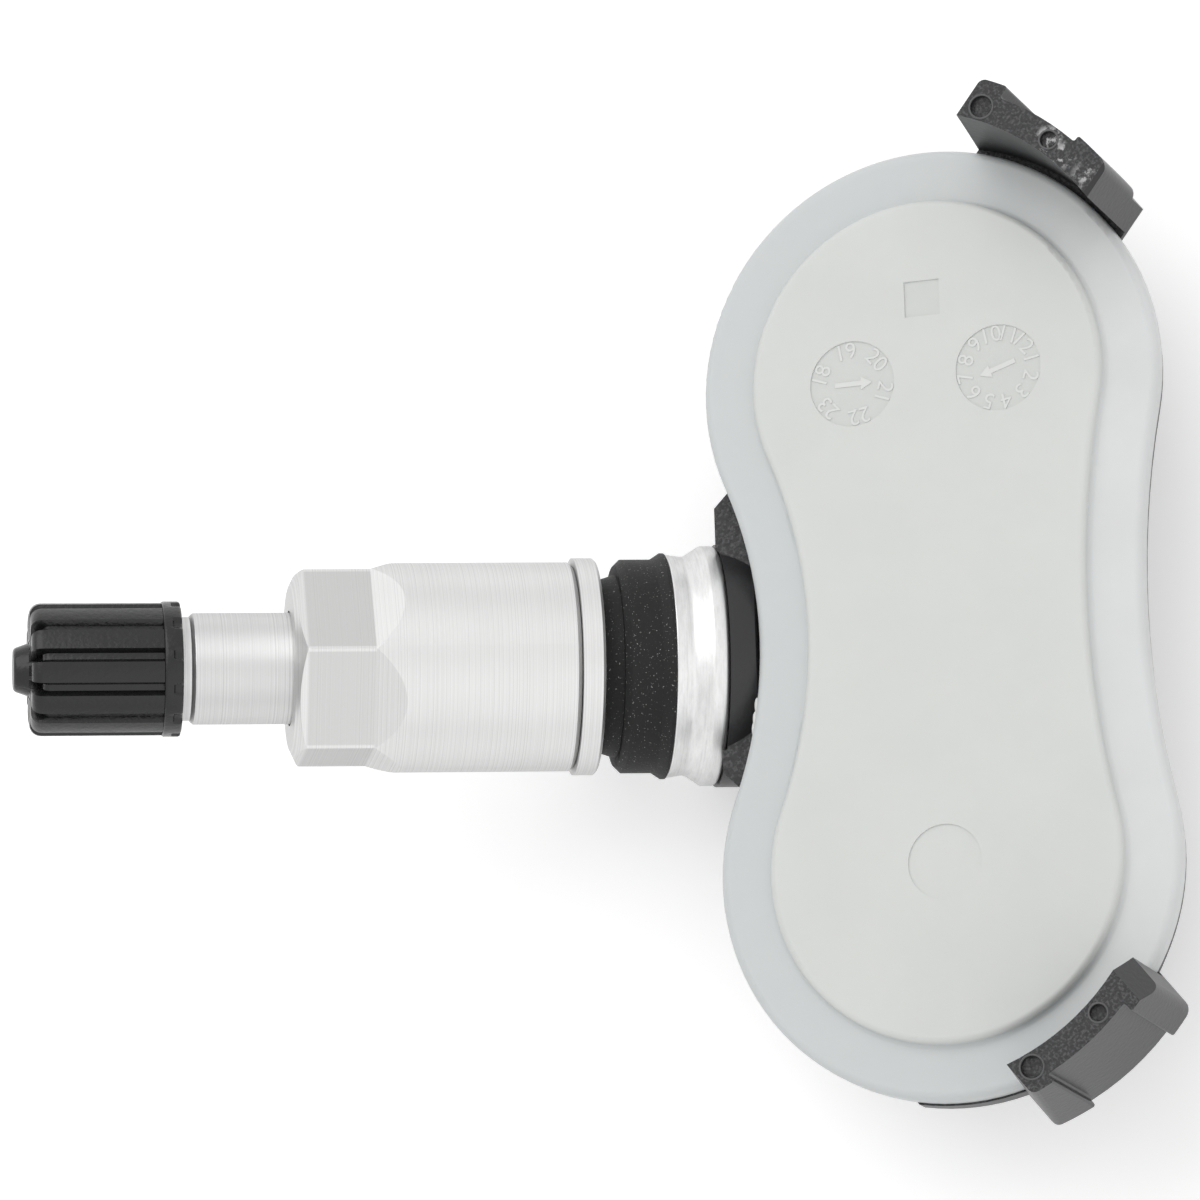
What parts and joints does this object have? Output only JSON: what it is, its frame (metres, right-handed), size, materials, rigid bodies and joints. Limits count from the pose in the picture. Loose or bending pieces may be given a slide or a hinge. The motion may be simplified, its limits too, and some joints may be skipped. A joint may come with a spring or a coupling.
{
  "type": "tyre pressure sensor",
  "caption": "Clamp-in tyre pressure sensor: a two-lobed black housing with a welded white lid and upright feet, on a tilted aluminium valve stem with rubber grommet, sleeve nut and ribbed cap.",
  "frame": {"origin": "on the flat back of the housing, midway between the two lobes", "axes": "+Z is the lid's outward normal, the stem leaves the waist towards -X and rises at 25 degrees, the lobes lie along Y"},
  "size_m": [0.0823, 0.0731, 0.0327],
  "materials": {
    "housing_black": "moulded, fine grain",
    "lid_white": "natural white, slightly translucent",
    "stem_aluminium": "turned, satin",
    "nut_aluminium": "turned and milled, satin",
    "washer_aluminium": "turned, satin",
    "grommet_rubber": "matte, dusty",
    "cap_black": "moulded, smooth",
    "seal_rubber": "matte",
    "core_brass": "turned",
    "core_gasket_red": "smooth",
    "pin_brass": "turned",
    "cup_rubber": "smooth",
    "spring_steel": "drawn wire",
    "board_green": "solder mask",
    "cell_steel": "pressed sheet",
    "tab_nickel": "thin sheet",
    "chip_black": "moulded",
    "gasket_grey": "soft",
    "filter_white": "porous",
    "ferrite_grey": "sintered",
    "winding_copper": "enamelled wire",
    "crystal_metal": "plated can",
    "antenna_wire": "tinned wire"
  },
  "bodies": {
    "sensor": {"housing": "housing_black", "lid": "lid_white", "valve_stem": "stem_aluminium", "rim_grommet": "grommet_rubber", "core_barrel": "core_brass", "core_gasket": "core_gasket_red", "core_spring": "spring_steel", "circuit_board": "board_green", "coin_cell": "cell_steel", "lower_tab": "tab_nickel", "upper_tab": "tab_nickel", "sensor_chip": "chip_black", "port_gasket": "gasket_grey", "port_filter": "filter_white", "ferrite_core": "ferrite_grey", "coil_winding": "winding_copper", "crystal": "crystal_metal", "loop_antenna": "antenna_wire"},
    "cap_carrier": {"cap_seal": "seal_rubber"},
    "cap": {"valve_cap": "cap_black"},
    "washer": {"nut_washer": "washer_aluminium"},
    "nut": {"stem_nut": "nut_aluminium"},
    "pin": {"core_pin": "pin_brass", "core_cup": "cup_rubber"}
  },
  "joints": [
    {"name": "cap_lift", "type": "slide", "parent": "sensor", "child": "cap_carrier", "axis": [-0.9063, 0, 0.4226], "range_m": [0, 0.00556]},
    {"name": "cap_turn", "type": "hinge", "parent": "cap_carrier", "child": "cap", "pos_m": [-0.05516, 0, 0.02462], "axis": [-0.9063, 0, 0.4226], "range_deg": [0, 2532]},
    {"name": "nut_lift", "type": "slide", "parent": "sensor", "child": "washer", "axis": [-0.9063, 0, 0.4226], "range_m": [0, 0.006]},
    {"name": "nut_turn", "type": "hinge", "parent": "washer", "child": "nut", "pos_m": [-0.03703, 0, 0.01616], "axis": [-0.9063, 0, 0.4226], "range_deg": [0, 2172]},
    {"name": "pin_press", "type": "slide", "parent": "sensor", "child": "pin", "axis": [0.9063, 0, -0.4226], "range_m": [0, 0.0015], "stiffness_N_per_m": 800, "springref_m": -0.002, "deforming": ["core_spring"]}
  ],
  "couplings": [
    {"joint": "cap_turn", "follows": "cap_lift", "rad_per_m": 7913.3},
    {"joint": "nut_turn", "follows": "nut_lift", "rad_per_m": 6283.2}
  ]
}
